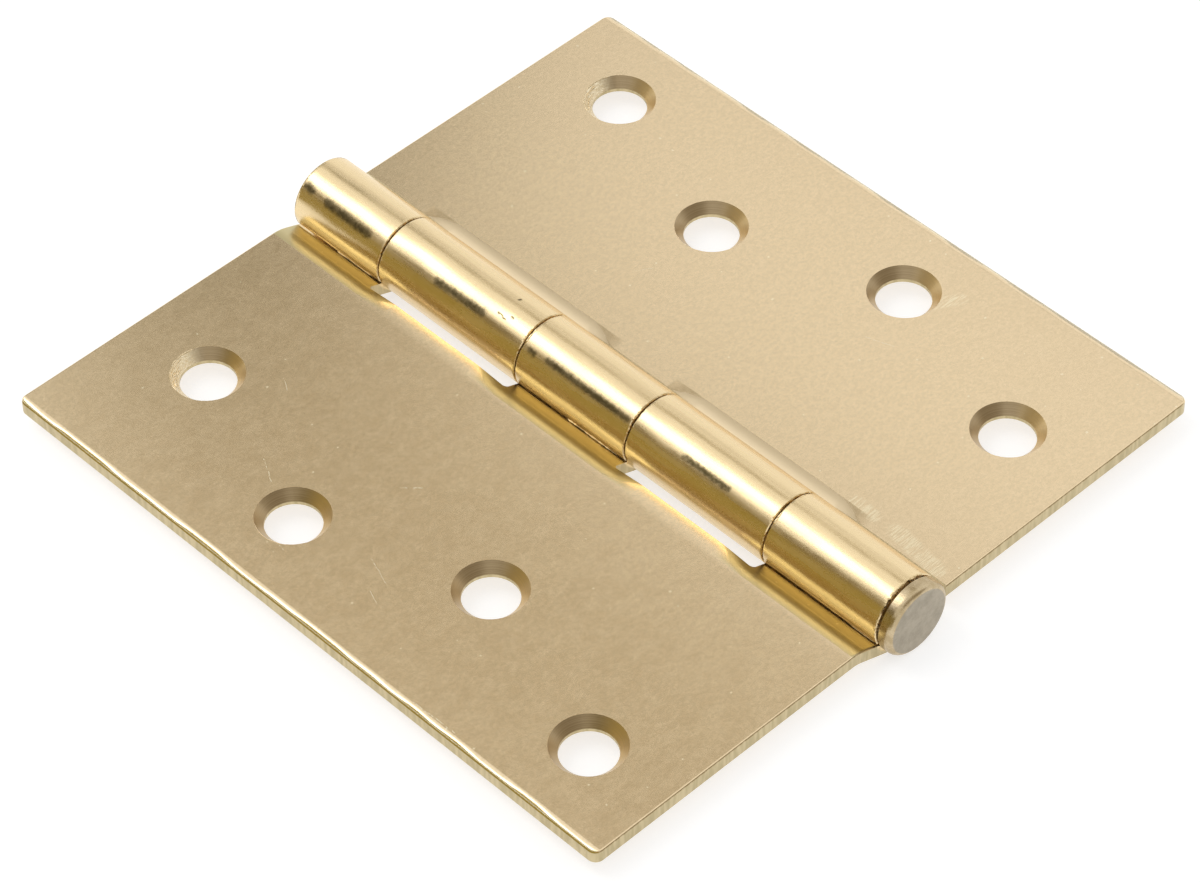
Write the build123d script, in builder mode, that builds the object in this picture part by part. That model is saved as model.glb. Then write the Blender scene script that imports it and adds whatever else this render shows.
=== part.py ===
from build123d import *
import os
from math import asin, cos, degrees, radians, sin, tan

# Full mortise butt hinge with five knuckles and a headed pin, lying open flat. Millimetres.
# X runs across the leaves, Y along the pin with its head at -Y, and Z up from what the barrel rests on.

# Leaves
hinge_length = 101.6
open_width = 101.6
sheet = 1.8
closed_gap = 2.2
corner_radius = 1.2
edge_rounding = 0.3

# Swage, the double bend that takes each tab down to the underside of the barrel. Beside the tab it fades out, down
# to a trace that gives both ends of the fade the same corners.
swage_angle = 21.0
swage_inside_radius = 4.1
swage_foot = 1.2
swage_fade = 5.0
faded_drop = 0.01

# Pin, drawn out at its head end
pin_diameter = 6.6
pin_clearance = 0.05
pin_end_recess = 1.0
pin_end_chamfer = 0.6
head_rim_inset = 0.05
head_thickness = 1.8
head_gap = 0.4
head_face_rounding = 0.9
head_back_rounding = 0.5

# Knuckles, by turns on the one leaf and on the other, with each seam's shift from even spacing to the far end
seam_shifts = (4.6, 0.1, 1.2, -1.8)
seam_gap = 0.18
rim_bevel = 0.12
curl_end_gap = 0.2
three_leaf_notch_clearance = 1.6
two_leaf_notch_clearance = 2.05
notch_corner_radius = 0.6

# Screw holes, in two rows on each leaf
screw_hole_diameter = 7.2
countersink_rim = 1.15
countersink_angle = 82.0
far_hole_margin = 13.2
near_hole_margin = 12.2
outer_row_margin = 10.85
row_spacing = 8.6

# Worked out from the sizes above
bore_radius = pin_diameter / 2 + pin_clearance
knuckle_radius = bore_radius + sheet
knuckle_pitch = hinge_length / (len(seam_shifts) + 1)
near_end = (head_gap + head_thickness - hinge_length) / 2
far_end = near_end + hinge_length
axis_height = knuckle_radius
leaf_top = axis_height - closed_gap / 2
leaf_edge = open_width / 2
turn = radians(swage_angle)
both_bends = 2 * swage_inside_radius + sheet
slope_length = (bore_radius - closed_gap / 2 - both_bends * (1 - cos(turn))) / sin(turn)
swage_reach = swage_foot + both_bends * sin(turn) + slope_length * cos(turn)
hole_radius = screw_hole_diameter / 2
head_radius = knuckle_radius - head_rim_inset

# The cut end of the curl comes down on the slope of the swage, short of it by its gap
axis_to_foot = swage_foot * sin(turn) + bore_radius * cos(turn)
axis_to_slope = axis_to_foot + swage_inside_radius * (1 - cos(turn))
curl_end = 180 - swage_angle + degrees(asin((axis_to_slope - curl_end_gap) / knuckle_radius))
curl_turn = curl_end + 90


def knuckle_spans():
    """Near and far Y of each knuckle, from the far end of the barrel."""
    seams = [far_end - (n + 1) * knuckle_pitch + shift for n, shift in enumerate(seam_shifts)]
    highs = [far_end] + [seam - seam_gap / 2 for seam in seams]
    lows = [seam + seam_gap / 2 for seam in seams] + [near_end]
    return list(zip(lows, highs))


def sheet_face(inset):
    """One face of the sheet, from the cut end of the curl to the leaf's edge, inset from the outer face."""
    curl_radius = knuckle_radius - inset
    curl = CenterArc((0, 0), curl_radius, curl_end, -curl_turn)
    foot = Line(curl @ 1, (-swage_foot, -curl_radius))
    lower = JernArc(foot @ 1, foot % 1, swage_inside_radius + sheet - inset, -swage_angle)
    slope = Line(lower @ 1, lower @ 1 + slope_length * (lower % 1))
    upper = JernArc(slope @ 1, slope % 1, swage_inside_radius + inset, swage_angle)
    leaf = Line(upper @ 1, (-leaf_edge, (upper @ 1).Y))
    return curl @ 0, leaf @ 1


def swage_strip(section, bent, inner_edge):
    """The sheet on that plane, from the start of the swage inwards to inner_edge, bent or almost flat."""
    bottom = -closed_gap / 2 - sheet
    with BuildSketch(section) as strip:
        with BuildLine():
            ends = []
            for inset in (0, sheet):
                radius = swage_inside_radius + inset
                start = (-swage_reach, bottom + inset)
                knee = -swage_reach + radius * sin(turn)
                if bent:
                    bend = JernArc(start, (1, 0), radius, -swage_angle)
                    end = (-inner_edge, (bend @ 1).Y + (inner_edge + knee) * tan(turn))
                else:
                    bend = Line(start, (knee, bottom + inset))
                    end = (-inner_edge, bottom + inset - faded_drop)
                Line(bend @ 1, end)
                ends.append((start, end))
            for top_point, bottom_point in zip(*ends):
                Line(top_point, bottom_point)
        make_face()
    return strip.sketch


def gaps_between(own_spans):
    """Near and far Y of each notch that a leaf needs, from one of its knuckles to the next or to its end."""
    starts = [far_end + seam_gap] + [low for low, high in own_spans]
    ends = [high for low, high in own_spans] + [near_end - seam_gap]
    return [(low, high) for high, low in zip(starts, ends) if high - low > 2 * seam_gap]


def openings(gaps, side, edge, corner=0):
    """Sketch of the gaps, from edge in across the barrel, with rounded corners where corner isn't 0."""
    width = edge + 2 * knuckle_radius
    with BuildSketch() as cut:
        for low, high in gaps:
            with Locations((side * (edge - width / 2), (low + high) / 2)):
                Rectangle(width, high - low)
        if corner:
            fillet(cut.vertices().group_by(Axis.X)[0 if side < 0 else -1], corner)
    return cut.sketch


def make_leaf(label, side, own_spans, notch_clearance, hole_rows):
    """One leaf of folded sheet, on the side of the pin given by the sign, with the knuckles at own_spans."""
    start = far_end if side < 0 else near_end
    across = Plane(origin=(0, 0, axis_height), x_dir=(-side, 0, 0), z_dir=(0, side, 0))
    outermost = 0 if side < 0 else -1
    gaps = gaps_between(own_spans)
    with BuildPart() as leaf:
        with BuildSketch(across.offset(side * start)):
            with BuildLine():
                for outer_point, inner_point in zip(sheet_face(0), sheet_face(sheet)):
                    Line(outer_point, inner_point)
            make_face()
        extrude(amount=hinge_length)

        # Between the tabs the swage gives way to flat sheet
        extrude(openings(gaps, side, swage_reach), amount=2 * axis_height, mode=Mode.SUBTRACT)
        notch_edge = knuckle_radius + notch_clearance
        for low, high in gaps:
            flat_low = low + swage_fade if low > near_end else near_end
            flat_high = high - swage_fade if high < far_end else far_end
            flat_strip = swage_strip(across.offset(side * flat_low), False, knuckle_radius)
            extrude(flat_strip, amount=side * (flat_high - flat_low))
            for tab_end, flat_end in ((low, flat_low), (high, flat_high)):
                if near_end < tab_end < far_end:
                    bent_strip = swage_strip(across.offset(side * tab_end), True, knuckle_radius)
                    flat_strip = swage_strip(across.offset(side * flat_end), False, knuckle_radius)
                    loft([bent_strip, flat_strip], ruled=True)

        # Notches, cut through that sheet and the barrel opposite the other leaf's knuckles
        notches = openings(gaps, side, notch_edge, notch_corner_radius)
        extrude(notches, amount=2 * axis_height, mode=Mode.SUBTRACT)

        # Outer corners, then the rounding that the punch leaves along the edges of the visible face
        fillet(leaf.edges().filter_by(Axis.Z).group_by(Axis.X)[outermost], corner_radius)
        face = leaf.faces().filter_by(Axis.Z).sort_by(Axis.Z)[-1]
        beyond_swage = face.edges().filter_by(lambda edge: side * edge.center().X > swage_reach + sheet)
        fillet(beyond_swage, edge_rounding)

        # Bevelled rims of the knuckles, from the underside of the barrel round to the cut end of the curl
        with BuildSketch(Plane(origin=(0, 0, axis_height), x_dir=(0, 0, -1), z_dir=(1, 0, 0))):
            for low, high in own_spans:
                for rim, inward in ((low, rim_bevel), (high, -rim_bevel)):
                    with BuildLine():
                        Polyline(
                            (knuckle_radius - rim_bevel, rim),
                            (knuckle_radius, rim),
                            (knuckle_radius, rim + inward),
                            close=True,
                        )
                    make_face()
        barrel_axis = Axis((0, 0, axis_height), (0, side, 0))
        revolve(axis=barrel_axis, revolution_arc=curl_turn, mode=Mode.SUBTRACT)

        hole_pitch = (hinge_length - far_hole_margin - near_hole_margin) / (len(hole_rows) - 1)
        holes = [
            (
                side * (leaf_edge - outer_row_margin - row * row_spacing),
                far_end - far_hole_margin - n * hole_pitch,
                leaf_top,
            )
            for n, row in enumerate(hole_rows)
        ]
        with Locations(holes):
            CounterSinkHole(hole_radius, hole_radius + countersink_rim, sheet, countersink_angle)

    leaf.part.label = label
    return leaf.part


def make_pin():
    """Turned pin with a flat head, running through every knuckle and ending inside the far one."""
    head_back = near_end - head_gap
    head_face = head_back - head_thickness
    tip = far_end - pin_end_recess
    with BuildPart() as pin:
        with BuildSketch(Plane.XY.offset(axis_height)) as half:
            with BuildLine():
                Polyline(
                    (0, head_face),
                    (head_radius, head_face),
                    (head_radius, head_back),
                    (pin_diameter / 2, head_back),
                    (pin_diameter / 2, tip),
                    (0, tip),
                    close=True,
                )
            make_face()
            axis_side, shank_side, rim_side = half.vertices().group_by(Axis.X)
            chamfer(shank_side.sort_by(Axis.Y)[-1], pin_end_chamfer)
            fillet(rim_side.sort_by(Axis.Y)[0], head_face_rounding)
            fillet(rim_side.sort_by(Axis.Y)[-1], head_back_rounding)
        revolve(axis=Axis((0, 0, axis_height), (0, 1, 0)))
    pin.part.label = "hinge_pin"
    return pin.part


os.makedirs("parts", exist_ok=True)
spans = knuckle_spans()
pieces = [
    make_leaf("three_knuckle_leaf", -1, spans[0::2], three_leaf_notch_clearance, (1, 0, 1, 0)),
    make_leaf("two_knuckle_leaf", 1, spans[1::2], two_leaf_notch_clearance, (0, 1, 0, 1)),
    make_pin(),
]
for piece in pieces:
    export_step(piece, f"parts/{piece.label}.step")
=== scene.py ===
import math
import random
from types import SimpleNamespace

import bmesh
import bpy
from mathutils import Matrix, Quaternion, Vector


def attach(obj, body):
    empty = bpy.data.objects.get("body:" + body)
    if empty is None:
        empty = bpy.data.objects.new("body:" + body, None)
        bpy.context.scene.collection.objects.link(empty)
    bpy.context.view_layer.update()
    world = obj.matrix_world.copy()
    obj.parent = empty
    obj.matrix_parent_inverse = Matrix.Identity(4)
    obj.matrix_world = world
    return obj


# A full mortise hinge in satin brass plate, lying open flat on a white floor. Metres, in the shared frame:
# X runs across the leaves, Y along the pin towards its far end and Z up from the floor.
MM = 0.001

# Camera, as the photograph was taken
CAMERA_PLACE = Vector((-0.28566, -0.29723, 0.42450))
CAMERA_TARGET = Vector((-0.00593, -0.00457, 0.00515))
CAMERA_ROLL = math.radians(-0.9)
CAMERA_LENS = 144.2
SENSOR_WIDTH = 36
CLIP_START = 0.01

# White backdrop and floor. The camera and reflections see them brighter than they light the hinge.
WHITE = (1, 1, 1, 1)
BACKDROP_LIGHT = 0.75
BACKDROP_SHOWN = 1.0
FLOOR_REACH = 4.0
FLOOR_PAINT = (0.50, 0.50, 0.50, 1)
FLOOR_GLOW = 0.64

# The softbox and the panels that the metal mirrors, in degrees and metres. Roll angles run round the pin
# from straight up towards +X, and ahead angles from that circle towards the far end.
KEY_ROLLS = (-29.5, -8)
KEY_AHEADS = (8, 52)
KEY_RADIANCE = 1.95
KEY_DISTANCE = 1.0
FLAGS = (
    # name, rolls, aheads, colour, distance
    ("far_flag", (31, 41), (35.8, 62), (0.18, 0.17, 0.13), 1.2),
    ("top_flag", (24, 33), (0, 38), (0.45, 0.40, 0.31), 1.2),
    ("side_flag", (43, 52), (0, 60), (0.72, 0.70, 0.68), 1.2),
    ("dark_strip", (-62, -46), (5, 55), (0.19, 0.15, 0.075), 1.1),
    ("left_wall", (-112, -60), (-45, 65), (0.32, 0.25, 0.07), 1.2),
    ("left_card", (-94, -70), (-60, 60), (0.32, 0.25, 0.07), 0.06),
    ("room", (-10, 60), (-75, -40), (0.45, 0.40, 0.32), 1.2),
)

# Sizes of the hinge, for the places of surface detail
AXIS_HEIGHT = 5.15 * MM
KNUCKLE_RADIUS = 5.15 * MM
LEAF_TOP = 4.05 * MM
SINK_RIM = 4.75 * MM
SINK_ANGLE = math.radians(82)
CURL_CORNER = (-4.71 * MM, 3.07 * MM)

# Y of the barrel's ends and of the seams between the knuckles
SEAMS = (51.9 * MM, 36.18 * MM, 11.36 * MM, -7.86 * MM, -31.18 * MM, -49.7 * MM)

# How wide the knuckles' rims are rolled over, and where the sag beside the slots and the rolled edge begin
LIP_WIDTH = 0.5 * MM
SAG_START = -9.6 * MM
SAG_WIDTH = 3.0 * MM
ROLLED_EDGE = 49.8 * MM

# Features of each noise along X, Y and Z. On the barrel X is the arc length round it.
GRAIN_SIZE = (0.55 * MM, 0.45 * MM, 0.55 * MM)
MOTTLE_SIZE = (2.4 * MM, 1.9 * MM, 2.4 * MM)
WAVE_SIZE = (5 * MM, 7 * MM, 5 * MM)
SHEAR_SIZE = (0.6 * MM, 0.6 * MM, 4.0 * MM)
COMB_SIZE = (1.6 * MM, 0.16 * MM, 1.6 * MM)
DRAG_SIZE = (1.0 * MM, 11 * MM, 1.0 * MM)
TURNING_SIZE = 0.12 * MM
SPECK_SPACING = 5.5 * MM

# Scratches on the top of the leaves, from and to X and Y, with their half width. Millimetres.
SCRATCHES = (
    ((-36.2, 22.8), (-38.0, 19.4), 0.08),
    ((-44.2, 11.4), (-44.4, 9.8), 0.07),
    ((-38.0, 1.6), (-39.8, -3.6), 0.06),
    ((-41.4, -1.6), (-42.4, -4.2), 0.06),
    ((-25.3, 31.4), (-26.3, 29.6), 0.06),
    ((-27.7, 7.6), (-27.2, 7.1), 0.12),
    ((-26.6, 6.4), (-25.9, 5.7), 0.10),
    ((-49.8, -18.5), (-49.6, -25.4), 0.08),
    ((44.6, -49.4), (45.3, -49.9), 0.12),
    ((18.5, 14.5), (20.6, 13.2), 0.05),
    ((30.6, -14.2), (31.9, -17.9), 0.05),
)

# Scuffed patches on the top of the two-knuckle leaf, in the same form
SCUFFS = (
    ((9.6, -32.6), (9.2, -35.8), 1.3),
    ((9.4, -39.6), (8.2, -47.2), 1.5),
    ((40.0, -16.0), (44.0, -18.0), 1.2),
)

# Patches of painted dark reflection along the barrel, where the real one is out of round, in the same form,
# where X is the arc length from the barrel's top towards +X
DARK_REFLECTION_PATCHES = (
    ((-3.95, 47.0), (-4.1, 39.4), 1.0),
    ((-3.6, 51.0), (-3.8, 50.0), 0.8),
    ((-3.85, 26.8), (-3.65, 18.8), 0.85),
    ((-3.8, 7.0), (-3.9, -6.8), 0.7),
    ((-3.5, -16.4), (-3.6, -23.8), 0.6),
    ((-4.0, 9.9), (-4.1, 9.3), 0.65),
    ((-2.5, 16.9), (-2.7, 15.4), 0.2),
    ((-2.0, 14.9), (-2.1, 14.6), 0.24),
    ((0.5, 16.3), (0.7, 16.1), 0.2),
)

# Colours of the brass. Pairs are the two ends that a noise, a side or a facing mixes between.
SATIN = ((0.87, 0.69, 0.44, 1), (0.91, 0.73, 0.475, 1))
GRAIN = (0.76, 0.61, 0.39, 1)
SCUFFED = (1.0, 0.88, 0.61, 1)
BARREL = (0.90, 0.71, 0.40, 1)
# Painted shade on the swage's slopes beside the barrel, for the -X side and the +X side
SWAGE_SHADE = ((0.63, 0.537, 0.295, 1), (0.74, 0.60, 0.39, 1))
CUT_EDGE = ((0.52, 0.43, 0.24, 1), (0.66, 0.55, 0.33, 1))
# Countersink walls: painted shade by facing, darkest where they face -X -Y
SINK_WALL_SHADE = ((0.34, 0.25, 0.14, 1), (0.64, 0.50, 0.30, 1))
# Painted golden light on the countersink walls that face -X +Y
SINK_SIDE_LIGHT = (0.78, 0.58, 0.29, 1)
SINK_RINGS = (0.58, 0.46, 0.29, 1)
TORN_WALL = (1.0, 0.88, 0.64, 1)
# Painted highlight along the rounded long edges
LONG_EDGE_HIGHLIGHT = (0.94, 0.82, 0.58, 1)
# Painted shade along the seams between the knuckles
SEAM_SHADE = (0.50, 0.36, 0.17, 1)
KNUCKLE_END = (0.97, 0.76, 0.42, 1)
# Colour of the painted dark reflection on the barrel
DARK_REFLECTION_COLOUR = (0.13, 0.10, 0.045, 1)
BARE = (1.0, 0.88, 0.62, 1)

# Colours of the pin: the dull face of its head, and the plated rest
DULL = ((0.38, 0.335, 0.26, 1), (0.48, 0.425, 0.335, 1))
PLATED = ((0.48, 0.37, 0.21, 1), (0.62, 0.50, 0.32, 1))

# Roughness
LEAF_ROUGH = 0.205
BARREL_ROUGH = 0.265
TROUGH_ROUGH = 0.32
CUT_ROUGH = 0.36
WORN_ROUGH = 0.38
BARE_SHARE = 0.8
PLATED_ROUGH = 0.28
DULL_ROUGH = 0.5

# Heights of the relief in metres, for the noises' 0 to 1
WAVE_HEIGHT = 1.2e-4
DRAG_HEIGHT = 1.2e-5
LEAF_GRAIN_HEIGHT = 3.2e-6
BARREL_GRAIN_HEIGHT = 1.1e-5
SHEAR_HEIGHT = 5e-5
TORN_HEIGHT = 1.6e-4
PIN_FINE_HEIGHT = 9e-6
PIN_CLOUD_HEIGHT = 3e-5

# Falls of the relief with the square of the distance, in metres for a square metre, and pairs as above
LIP_FALL = (-150, -600)
EDGE_FALL = (-260, -480)
SAG_FALL = 13.0

# Burrs: sides of the tube, wander of its radius from ring to ring, rings that each end tapers over, the
# power that keeps it mostly thin, the radius left at its tips, and the least shares at a corner and by kind
BURR_SIDES = 6
BURR_WANDER = 0.35
BURR_TAPER = 3
BURR_POWER = 1.5
BURR_TIP = 0.004 * MM
BURR_CORNER = 0.75
BURR_LEAST = {"sink": 0.15, "curl": 0.15, "seam": 0.25}
FIRST_SEED = 20

# Lines that the burrs follow: steps along the cut end of a curl, how deep in the barrel's surface a burr at
# a seam runs, and how far under the barrel's top its line stays, so that it doesn't rise over the hinge
CURL_STEP = 0.15 * MM
SEAM_DEPTH = 0.03 * MM
SEAM_HEADROOM = 0.18 * MM

LEFT, RIGHT = "three_knuckle_leaf", "two_knuckle_leaf"

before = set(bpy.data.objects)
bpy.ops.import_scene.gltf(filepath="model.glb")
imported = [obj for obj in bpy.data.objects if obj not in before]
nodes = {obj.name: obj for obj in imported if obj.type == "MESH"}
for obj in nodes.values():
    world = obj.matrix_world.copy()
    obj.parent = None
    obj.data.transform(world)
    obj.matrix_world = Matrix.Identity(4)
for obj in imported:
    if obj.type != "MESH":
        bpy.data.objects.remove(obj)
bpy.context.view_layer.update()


def adder(tree):
    """A helper that adds a node to the tree, sets its sockets and links the ones given as outputs."""

    def add(kind, properties=None, **inputs):
        node = tree.nodes.new(kind)
        for key, value in (properties or {}).items():
            setattr(node, key, value)
        for key, value in inputs.items():
            by_index = key[0] == "i" and key[1:].isdigit()
            socket = node.inputs[int(key[1:])] if by_index else node.inputs[key.replace("_", " ")]
            if isinstance(value, bpy.types.NodeSocket):
                tree.links.new(value, socket)
            else:
                socket.default_value = value
        return node

    return add


def new_material(name):
    material = bpy.data.materials.new(name)
    material.use_nodes = True
    material.node_tree.nodes.clear()
    return material, adder(material.node_tree)


def maths(add, operation, first, second=0.0, clamp=False):
    properties = {"operation": operation, "use_clamp": clamp}
    return add("ShaderNodeMath", properties, i0=first, i1=second).outputs[0]


def chained(add, operation, values):
    """The operation on the first two values, then on that and the third, and so on."""
    result = values[0]
    for value in values[1:]:
        result = maths(add, operation, result, value)
    return result


def times(add, *values):
    return chained(add, "MULTIPLY", values)


def plus(add, *values):
    return chained(add, "ADD", values)


def minus(add, first, second):
    return maths(add, "SUBTRACT", first, second)


def largest(add, *values):
    return chained(add, "MAXIMUM", values)


def smallest(add, *values):
    return chained(add, "MINIMUM", values)


def unsigned(add, value):
    return maths(add, "ABSOLUTE", value)


def vectors(add, operation, *inputs, **named):
    """A vector maths node with its inputs in order."""
    ordered = {f"i{number}": value for number, value in enumerate(inputs)}
    return add("ShaderNodeVectorMath", {"operation": operation}, **ordered, **named)


def ramp(add, value, low, high, to_low=0.0, to_high=1.0):
    """Value mapped smoothly from low..high to to_low..to_high."""
    smooth = {"interpolation_type": "SMOOTHSTEP"}
    node = add("ShaderNodeMapRange", smooth, i0=value, i1=low, i2=high, i3=to_low, i4=to_high)
    return node.outputs[0]


def mix_colour(add, factor, first, second):
    node = add("ShaderNodeMix", {"data_type": "RGBA"}, i0=factor, i6=first, i7=second)
    return node.outputs[2]


def mix_value(add, factor, first, second):
    return add("ShaderNodeMix", i0=factor, i2=first, i3=second).outputs[0]


def stretched_noise(add, place, sizes, detail=2.0, roughness=0.5):
    """Noise with features of the given size in metres along X, Y and Z, from 0 to 1."""
    scaled = vectors(add, "MULTIPLY", place, tuple(1 / size for size in sizes)).outputs[0]
    noise = add("ShaderNodeTexNoise", Vector=scaled, Scale=1.0, Detail=detail, Roughness=roughness)
    return noise.outputs["Fac"]


def shaken(add, point, size, reach):
    """The point moved about by noise, so that what is drawn with it has a ragged edge."""
    noise = add("ShaderNodeTexNoise", Vector=point, Scale=1 / size, Detail=4.0)
    off = vectors(add, "SUBTRACT", noise.outputs["Color"], (0.5, 0.5, 0.5)).outputs[0]
    return vectors(add, "MULTIPLY_ADD", off, (reach, reach, 0), point).outputs[0]


def stroke(add, point, start, end, width, core):
    """1 within core of the width from the line, and 0 past the width, in the plane that point runs in.

    The line's ends and the width are in millimetres.
    """
    start, end = Vector((*start, 0)) * MM, Vector((*end, 0)) * MM
    run = end - start
    away = vectors(add, "SUBTRACT", point, start).outputs[0]
    along = vectors(add, "DOT_PRODUCT", away, run / run.length_squared).outputs["Value"]
    held = maths(add, "ADD", along, 0.0, True)
    nearest = vectors(add, "SCALE", tuple(run), Scale=held).outputs[0]
    gap = vectors(add, "DISTANCE", away, nearest).outputs["Value"]
    return ramp(add, gap, width * MM, core * width * MM)


def strokes(add, point, lines, core=0.5):
    return largest(add, *(stroke(add, point, *line, core) for line in lines))


def metal(add, shade, rough, relief):
    """Ends a material as bare metal with that colour, roughness and relief in metres."""
    bump = add("ShaderNodeBump", Height=relief, Distance=1.0, Strength=1.0).outputs[0]
    shader = add("ShaderNodeBsdfPrincipled", Metallic=1.0, Base_Color=shade, Roughness=rough, Normal=bump)
    add("ShaderNodeOutputMaterial", Surface=shader.outputs[0])


def shown_rays(add):
    """1 on camera, glossy and transmission rays, 0 on the rest."""
    path = add("ShaderNodeLightPath")
    rays = ("Is Camera Ray", "Is Glossy Ray", "Is Transmission Ray")
    return largest(add, *(path.outputs[ray] for ray in rays))


def make_world():
    world = bpy.data.worlds.new("studio")
    bpy.context.scene.world = world
    world.use_nodes = True
    tree = world.node_tree
    tree.nodes.clear()
    add = adder(tree)
    level = add("ShaderNodeMapRange", i0=shown_rays(add), i3=BACKDROP_LIGHT, i4=BACKDROP_SHOWN)
    back = add("ShaderNodeBackground", Color=WHITE, Strength=level.outputs[0])
    add("ShaderNodeOutputWorld", Surface=back.outputs[0])


def flat_panel(name, half_width, half_height):
    """An object in the scene that is one rectangle about its origin, and its mesh."""
    w, h = half_width, half_height
    mesh = bpy.data.meshes.new(name)
    mesh.from_pydata([(-w, -h, 0), (w, -h, 0), (w, h, 0), (-w, h, 0)], [], [(0, 1, 2, 3)])
    panel = bpy.data.objects.new(name, mesh)
    bpy.context.collection.objects.link(panel)
    return panel, mesh


def hang(thing, rolls, aheads, distance):
    """Hangs a panel or lamp amid those angles, facing the hinge, with its height along the pin."""
    roll, ahead = math.radians(sum(rolls) / 2), math.radians(sum(aheads) / 2)
    out = Vector((math.sin(roll) * math.cos(ahead), math.sin(ahead), math.cos(roll) * math.cos(ahead)))
    across = Vector((0, 1, 0)).cross(out).normalized()
    turned = Matrix((across, out.cross(across), out)).transposed()
    thing.location = out * distance
    thing.rotation_mode = "QUATERNION"
    thing.rotation_quaternion = turned.to_quaternion()


def half_span(angles, distance):
    """Half of what fills the angle between those two, at that distance."""
    return distance * math.tan(math.radians(angles[1] - angles[0]) / 2)


def flag(name, rolls, aheads, colour, distance):
    """A panel that only shows as a reflection in the metal."""
    panel, mesh = flat_panel(name, half_span(rolls, distance), half_span(aheads, distance))
    hang(panel, rolls, aheads, distance)
    material, add = new_material(name)
    glow = add("ShaderNodeEmission", Color=(*colour, 1))
    add("ShaderNodeOutputMaterial", Surface=glow.outputs[0])
    mesh.materials.append(material)
    panel.visible_camera = False
    panel.visible_diffuse = False
    panel.visible_shadow = False


def soft_lamp(name, rolls, aheads, radiance, distance):
    """A softbox between those angles, which the camera doesn't see."""
    lamp = bpy.data.lights.new(name, "AREA")
    lamp.shape = "RECTANGLE"
    lamp.size = 2 * half_span(rolls, distance)
    lamp.size_y = 2 * half_span(aheads, distance)
    lamp.energy = radiance * math.pi * lamp.size * lamp.size_y
    holder = bpy.data.objects.new(name, lamp)
    bpy.context.collection.objects.link(holder)
    hang(holder, rolls, aheads, distance)
    holder.visible_camera = False


def make_floor():
    floor, mesh = flat_panel("floor", FLOOR_REACH, FLOOR_REACH)
    material, add = new_material("floor")
    paint = add("ShaderNodeBsdfDiffuse", Color=FLOOR_PAINT)
    glow = add("ShaderNodeEmission", Color=WHITE, Strength=times(add, shown_rays(add), FLOOR_GLOW))
    both = add("ShaderNodeAddShader", i0=paint.outputs[0], i1=glow.outputs[0])
    add("ShaderNodeOutputMaterial", Surface=both.outputs[0])
    mesh.materials.append(material)


def make_camera():
    data = bpy.data.cameras.new("camera")
    data.lens = CAMERA_LENS
    data.sensor_width = SENSOR_WIDTH
    data.clip_start = CLIP_START
    camera = bpy.data.objects.new("camera", data)
    bpy.context.collection.objects.link(camera)
    camera.location = CAMERA_PLACE
    camera.rotation_mode = "QUATERNION"
    aim = (CAMERA_PLACE - CAMERA_TARGET).to_track_quat("Z", "Y")
    camera.rotation_quaternion = aim @ Quaternion((0, 0, 1), CAMERA_ROLL)
    bpy.context.scene.camera = camera


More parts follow.
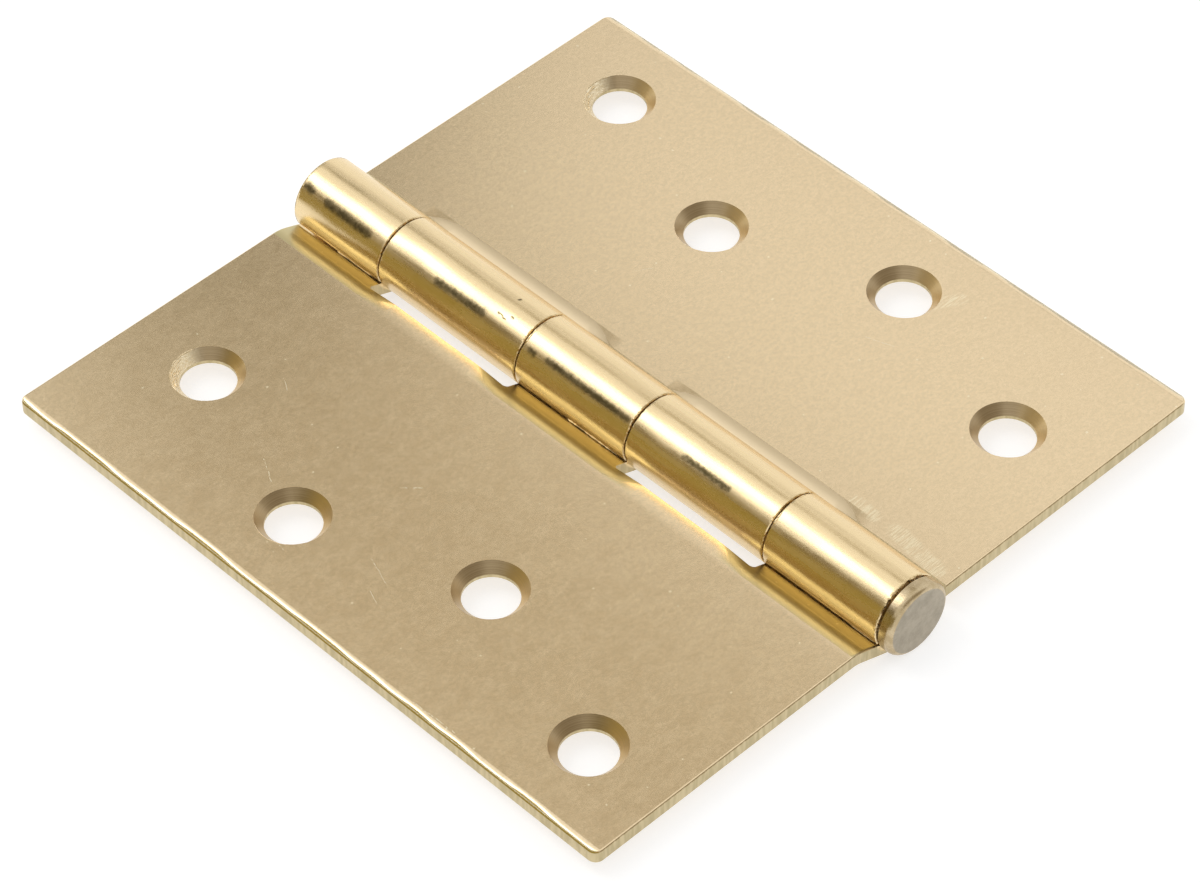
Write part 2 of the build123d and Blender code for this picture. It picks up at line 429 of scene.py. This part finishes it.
def brass_places(add):
    """Where a point of a leaf is and which way it faces, with masks for the kinds of surface."""
    at = SimpleNamespace()
    coordinates = add("ShaderNodeTexCoord")
    at.place = coordinates.outputs["Object"]
    at.x, at.y, at.z = add("ShaderNodeSeparateXYZ", Vector=at.place).outputs
    normal = coordinates.outputs["Normal"]
    at.facing_x, at.facing_y, at.facing_z = add("ShaderNodeSeparateXYZ", Vector=normal).outputs
    at.across = unsigned(add, at.x)
    at.height = minus(add, at.z, AXIS_HEIGHT)
    section = add("ShaderNodeCombineXYZ", X=at.x, Z=at.height).outputs[0]
    at.radius = vectors(add, "LENGTH", section).outputs["Value"]
    at.barrel = ramp(add, at.radius, KNUCKLE_RADIUS + 0.45 * MM, KNUCKLE_RADIUS + 0.1 * MM)
    at.leaf = minus(add, 1.0, at.barrel)
    at.on_top = times(add, at.leaf, ramp(add, at.facing_z, 0.9, 0.97))

    # Cut edges and knuckle ends, countersinks, and the rounding along the long edges
    sheared = times(add, at.leaf, ramp(add, unsigned(add, at.facing_z), 0.45, 0.25))
    ends = ramp(add, unsigned(add, at.facing_y), 0.8, 0.95)
    at.knuckle_end = times(add, ends, at.barrel)
    at.cut = largest(add, sheared, ends)
    slanted = times(add, ramp(add, at.facing_z, 0.5, 0.6), ramp(add, at.facing_z, 0.8, 0.7))
    inland = ramp(add, at.across, 50.0 * MM, 49.8 * MM)
    at.sink = times(add, slanted, times(add, inland, at.leaf))
    # The outer rounding of the long edges, where a highlight is painted
    outermost = ramp(add, at.across, 50.25 * MM, 50.5 * MM)
    at.rim = times(add, outermost, ramp(add, at.facing_z, 0.2, 0.5))

    # The swage, by its depth below the leaf's top and by its lean towards the barrel
    at.side = maths(add, "SIGN", at.x)
    lean = times(add, at.facing_x, at.side)
    sunk = largest(add, ramp(add, at.z, 4.04 * MM, 3.8 * MM), ramp(add, lean, -0.01, -0.08))
    beside = times(add, at.leaf, ramp(add, at.across, 12 * MM, 11 * MM))
    at.trough = times(add, sunk, beside, ramp(add, at.facing_z, 0.6, 0.8))

    # The wall of a countersink faces from -X +Y to +X -Y, and is torn there at the two holes by the far end
    at.sideways = minus(add, at.facing_x, at.facing_y)
    far_holes = ramp(add, at.y, 25 * MM, 30 * MM)
    at.torn_wall = times(add, ramp(add, at.sideways, 0.1, 0.8), far_holes, at.sink)

    # How far within the rolled rim of a knuckle the point is, up to the rim's width at the seam
    from_seam = smallest(add, *(unsigned(add, minus(add, at.y, seam)) for seam in SEAMS))
    at.lip = largest(add, minus(add, LIP_WIDTH, from_seam), 0.0)

    # Grain of the satin finish, the colour's mottle, dents of the barrel and tear lines of the cut edges
    at.grain = stretched_noise(add, at.place, GRAIN_SIZE, 3.0, 0.75)
    at.mottle = stretched_noise(add, at.place, MOTTLE_SIZE, 3.0, 0.85)
    at.waves = stretched_noise(add, at.place, WAVE_SIZE, 0.0)
    at.shear = stretched_noise(add, at.place, SHEAR_SIZE, 1.0)
    return at


def add_wear_and_dark_reflections(add, at):
    """Adds the masks of what years of use and the making left on the leaves and along the barrel, and of the
    barrel's patches of painted dark reflection.
    """
    # Specks, scratches and scuffs on the leaves
    drawn = shaken(add, at.place, 1.2 * MM, 0.5 * MM)
    flat = vectors(add, "MULTIPLY", drawn, (1, 1, 0)).outputs[0]
    cells = {"voronoi_dimensions": "2D"}
    specks = add("ShaderNodeTexVoronoi", cells, Vector=flat, Scale=1 / SPECK_SPACING)
    chance = add("ShaderNodeSeparateColor", Color=specks.outputs["Color"]).outputs[0]
    reach = ramp(add, chance, 0.4, 1.0, 0.0, 0.034)
    speck = ramp(add, minus(add, reach, specks.outputs["Distance"]), 0.0, 0.013, 0.0, 0.88)
    scratches = times(add, strokes(add, flat, SCRATCHES), ramp(add, at.grain, 0.38, 0.52))
    at.bare = times(add, largest(add, speck, scratches), at.on_top)
    combed = stretched_noise(add, at.place, COMB_SIZE, 1.0)
    at.scuffs = times(add, strokes(add, flat, SCUFFS), ramp(add, combed, 0.4, 0.65, 0.0, 0.7), at.on_top)

    # Patches of painted dark reflection and drawn streaks along the barrel, on its surface rolled out flat
    turned = times(add, maths(add, "ARCTAN2", at.x, at.height), KNUCKLE_RADIUS)
    rolled = add("ShaderNodeCombineXYZ", X=turned, Y=at.y).outputs[0]
    at.drag = stretched_noise(add, rolled, DRAG_SIZE, 2.0, 0.6)
    marks = strokes(add, shaken(add, rolled, 0.55 * MM, 0.7 * MM), DARK_REFLECTION_PATCHES, core=0.1)
    at.marks = times(add, marks, at.barrel, ramp(add, at.mottle, 0.3, 0.6, 0.7, 1.0))


def sink_wall_colour(add, at):
    """The wall of a countersink, with painted shade darkest where it faces -X -Y and a painted golden light
    where it faces -X +Y, with the fine rings that the drill left.
    """
    # Painted shade by the way the wall faces
    facing_shade = ramp(add, plus(add, at.facing_x, at.facing_y), -0.95, 0.2)
    wall = mix_colour(add, facing_shade, *SINK_WALL_SHADE)
    # Painted golden light where the wall faces -X +Y
    wall = mix_colour(add, ramp(add, at.sideways, -0.2, -0.95), wall, SINK_SIDE_LIGHT)
    rings = {"noise_dimensions": "1D"}
    turning = add("ShaderNodeTexNoise", rings, W=at.z, Scale=1 / TURNING_SIZE, Detail=1.0).outputs[0]
    wall = mix_colour(add, ramp(add, turning, 0.35, 0.7, 0.0, 0.35), wall, SINK_RINGS)
    return mix_colour(add, at.torn_wall, wall, TORN_WALL)


def brass_colour(add, at):
    shade = mix_colour(add, ramp(add, at.mottle, 0.25, 0.75), *SATIN)
    shade = mix_colour(add, ramp(add, at.grain, 0.35, 0.65, 0.0, 0.5), shade, GRAIN)
    shade = mix_colour(add, at.scuffs, shade, SCUFFED)
    shade = mix_colour(add, times(add, at.barrel, 0.7), shade, BARREL)
    # Painted shade on the swage's slopes beside the barrel, darker on the -X side
    swage_shade = mix_colour(add, ramp(add, at.side, -1.0, 1.0), *SWAGE_SHADE)
    shade = mix_colour(add, at.trough, shade, swage_shade)
    raw = mix_colour(add, ramp(add, at.shear, 0.3, 0.7), *CUT_EDGE)
    shade = mix_colour(add, at.cut, shade, raw)
    shade = mix_colour(add, at.sink, shade, sink_wall_colour(add, at))
    # Painted highlight on the rounded long edges
    shade = mix_colour(add, at.rim, shade, LONG_EDGE_HIGHLIGHT)

    # Painted shade along the seams, in patches, not on what stands over the knuckle's surface, such as a
    # burr
    patchy = ramp(add, at.mottle, 0.4, 0.6, 0.15, 0.75)
    at_surface = ramp(add, at.radius, KNUCKLE_RADIUS + 0.06 * MM, KNUCKLE_RADIUS + 0.02 * MM)
    seam_shade = times(add, ramp(add, at.lip, 0.12 * MM, 0.42 * MM), patchy, at_surface, at.barrel)
    shade = mix_colour(add, seam_shade, shade, SEAM_SHADE)

    shade = mix_colour(add, at.knuckle_end, shade, KNUCKLE_END)
    # Painted dark reflection: dark patches along the barrel
    shade = mix_colour(add, at.marks, shade, DARK_REFLECTION_COLOUR)
    return mix_colour(add, at.bare, shade, BARE)


def brass_roughness(add, at):
    rough = mix_value(add, at.barrel, LEAF_ROUGH, BARREL_ROUGH)
    rough = plus(add, rough, ramp(add, at.mottle, 0.25, 0.75, -0.015, 0.015))
    rough = plus(add, rough, times(add, ramp(add, at.drag, 0.3, 0.7, -0.05, 0.05), at.barrel))
    rough = largest(add, rough, times(add, at.trough, TROUGH_ROUGH))
    rough = largest(add, rough, times(add, largest(add, at.cut, at.sink), CUT_ROUGH))
    # The worn specks and scratches and the patches of painted dark reflection are rougher
    worn_and_dark_patches = largest(add, times(add, at.bare, BARE_SHARE), at.marks)
    return largest(add, rough, times(add, worn_and_dark_patches, WORN_ROUGH))


def brass_relief(add, at):
    """The height of the surface in metres."""
    # The barrel's dents and streaks, and the rolled rims of its knuckles
    swell = times(add, at.waves, WAVE_HEIGHT, at.barrel)
    swell = plus(add, swell, times(add, at.drag, DRAG_HEIGHT, at.barrel))
    fall = ramp(add, at.mottle, 0.4, 0.6, *LIP_FALL)
    swell = plus(add, swell, times(add, times(add, at.lip, at.lip), fall, at.barrel))

    # Towards the barrel the three-knuckle leaf sags a little, also beside the slots
    sag = smallest(add, largest(add, minus(add, at.x, SAG_START), 0.0), SAG_WIDTH)
    swell = minus(add, swell, times(add, times(add, sag, sag), SAG_FALL))

    brushed = times(add, at.grain, ramp(add, at.barrel, 0.0, 1.0, LEAF_GRAIN_HEIGHT, BARREL_GRAIN_HEIGHT))
    torn = times(add, at.shear, SHEAR_HEIGHT, at.cut)
    torn = plus(add, torn, times(add, at.grain, TORN_HEIGHT, at.torn_wall))

    # The punch rolled the long edges over
    over = largest(add, minus(add, at.across, ROLLED_EDGE), 0.0)
    fall = ramp(add, at.waves, 0.3, 0.7, *EDGE_FALL)
    rolled_edge = times(add, times(add, over, over), fall, at.on_top)
    return plus(add, plus(add, swell, brushed), plus(add, torn, rolled_edge))


def brass_material():
    material, add = new_material("satin_brass")
    at = brass_places(add)
    add_wear_and_dark_reflections(add, at)
    metal(add, brass_colour(add, at), brass_roughness(add, at), brass_relief(add, at))
    return material


def pin_material():
    material, add = new_material("pin")
    coordinates = add("ShaderNodeTexCoord")
    place = coordinates.outputs["Object"]
    facing = add("ShaderNodeSeparateXYZ", Vector=coordinates.outputs["Normal"])
    head_face = ramp(add, facing.outputs[1], -0.93, -0.985)
    cloud = stretched_noise(add, place, (1.6 * MM,) * 3, 5.0, 0.7)
    fine = stretched_noise(add, place, (0.25 * MM,) * 3, 3.0)
    dull = mix_colour(add, ramp(add, cloud, 0.3, 0.7), *DULL)
    plated = mix_colour(add, ramp(add, cloud, 0.35, 0.65), *PLATED)
    rough = mix_value(add, head_face, PLATED_ROUGH, DULL_ROUGH)
    rough = plus(add, rough, ramp(add, fine, 0.25, 0.75, -0.04, 0.04))
    relief = plus(add, times(add, fine, PIN_FINE_HEIGHT), times(add, cloud, PIN_CLOUD_HEIGHT))
    metal(add, mix_colour(add, head_face, plated, dull), rough, relief)
    return material


def bead(name, body, line, reach, least, seed):
    """A ragged burr: a thin closed tube along the line.

    Its radius wanders between the least share of reach and all of it, and tapers off at both ends.
    """
    draw = random.Random(seed)
    last = len(line) - 1
    size, drift = [], 0.5
    for step in range(len(line)):
        drift = min(1.0, max(0.0, drift + draw.uniform(-BURR_WANDER, BURR_WANDER)))
        taper = min(1.0, step / BURR_TAPER, (last - step) / BURR_TAPER)
        size.append(reach * taper * (least + (1 - least) * drift ** BURR_POWER) + BURR_TIP)
    mesh = bmesh.new()
    rings = []
    for step, point in enumerate(line):
        ahead = (line[min(step + 1, last)] - line[max(step - 1, 0)]).normalized()
        out = Vector((0, 0, 1)) if abs(ahead.z) < 0.9 else Vector((1, 0, 0))
        across = ahead.cross(out).normalized()
        up = across.cross(ahead)
        ring = []
        for corner in range(BURR_SIDES):
            angle = math.tau * corner / BURR_SIDES
            spread = size[step] * draw.uniform(BURR_CORNER, 1.0)
            ring.append(mesh.verts.new(point + (across * math.cos(angle) + up * math.sin(angle)) * spread))
        rings.append(ring)
    for first, second in zip(rings, rings[1:]):
        for corner in range(BURR_SIDES):
            after = (corner + 1) % BURR_SIDES
            mesh.faces.new((first[corner], first[after], second[after], second[corner]))
    mesh.faces.new(rings[0])
    mesh.faces.new(rings[-1])
    bmesh.ops.recalc_face_normals(mesh, faces=mesh.faces)
    data = bpy.data.meshes.new(name)
    mesh.to_mesh(data)
    mesh.free()
    data.shade_smooth()
    data.materials.append(brass)
    piece = bpy.data.objects.new(name, data)
    bpy.context.collection.objects.link(piece)
    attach(piece, body)


def spaced(low, high, steps):
    """Angles in radians from one in degrees to another, both ends included."""
    return [math.radians(low + (high - low) * n / steps) for n in range(steps + 1)]


def sink_line(centre, radius, low, high, steps):
    """Points round the wall of the countersink at that centre, where the wall has that radius."""
    depth = (SINK_RIM - radius) / math.tan(SINK_ANGLE / 2)
    middle = Vector((*centre, LEAF_TOP - depth))
    return [middle + Vector((math.cos(a), math.sin(a), 0)) * radius for a in spaced(low, high, steps)]


def seam_line(along, low, high):
    """Points round the barrel at that Y, a degree apart, kept under the barrel's top."""
    out = KNUCKLE_RADIUS - SEAM_DEPTH
    top = AXIS_HEIGHT + KNUCKLE_RADIUS - SEAM_HEADROOM
    rolls = spaced(low, high, high - low)
    return [Vector((math.sin(a) * out, along, min(top, AXIS_HEIGHT + math.cos(a) * out))) for a in rolls]


def curl_line(low, high):
    """Points along the outer corner of the curl's cut end, between two Y."""
    x, z = CURL_CORNER
    count = round((high - low) / CURL_STEP)
    return [Vector((x, low + (high - low) * n / count, z)) for n in range(count + 1)]


make_camera()
make_world()
make_floor()
soft_lamp("key", KEY_ROLLS, KEY_AHEADS, KEY_RADIANCE, KEY_DISTANCE)
for panel in FLAGS:
    flag(*panel)

brass = brass_material()
for name in (LEFT, RIGHT):
    nodes[name].material_slots[0].material = brass
nodes["hinge_pin"].material_slots[0].material = pin_material()

# X and Y of the screw holes with burrs, counted from the far end
LEFT_1, RIGHT_1 = (-31.35 * MM, 38.7 * MM), (39.95 * MM, 38.7 * MM)
LEFT_2, RIGHT_2 = (-39.95 * MM, 13.3 * MM), (31.35 * MM, 13.3 * MM)

# Burrs that the countersinking, the curling and the shearing left, with their greatest radius in millimetres
BURRS = (
    ("sink_burr_1", LEFT, sink_line(LEFT_1, 4.72 * MM, 70, 175, 60), 0.15),
    ("sink_burr_2", LEFT, sink_line(LEFT_1, 4.45 * MM, 95, 165, 40), 0.20),
    ("sink_burr_3", LEFT, sink_line(LEFT_1, 4.15 * MM, 105, 160, 32), 0.20),
    ("sink_burr_4", LEFT, sink_line(LEFT_1, 3.88 * MM, 110, 155, 26), 0.18),
    ("sink_burr_5", RIGHT, sink_line(RIGHT_1, 4.72 * MM, 60, 165, 60), 0.13),
    ("sink_burr_6", RIGHT, sink_line(RIGHT_1, 4.40 * MM, 90, 160, 40), 0.18),
    ("sink_burr_7", RIGHT, sink_line(RIGHT_1, 4.05 * MM, 100, 150, 30), 0.17),
    ("sink_burr_8", LEFT, sink_line(LEFT_2, 4.74 * MM, 150, 250, 50), 0.06),
    ("sink_burr_9", RIGHT, sink_line(RIGHT_2, 4.74 * MM, 120, 230, 60), 0.06),
    ("curl_burr_1", LEFT, curl_line(38.0 * MM, 44.5 * MM), 0.16),
    ("curl_burr_2", LEFT, curl_line(-6.2 * MM, 2.5 * MM), 0.14),
    ("curl_burr_3", LEFT, curl_line(-49.2 * MM, -45.5 * MM), 0.17),
    ("seam_burr_1", LEFT, seam_line(36.44 * MM, -16, 8), 0.15),
    ("seam_burr_2", LEFT, seam_line(11.09 * MM, -42, 30), 0.17),
    ("seam_burr_3", LEFT, seam_line(-7.58 * MM, -42, 2), 0.15),
    ("seam_burr_4", LEFT, seam_line(-31.45 * MM, -44, 26), 0.18),
)
for number, (name, body, line, reach) in enumerate(BURRS):
    bead(name, body, line, reach * MM, BURR_LEAST[name.split("_")[0]], FIRST_SEED + number)

view = bpy.context.scene.view_settings
view.view_transform = "Standard"
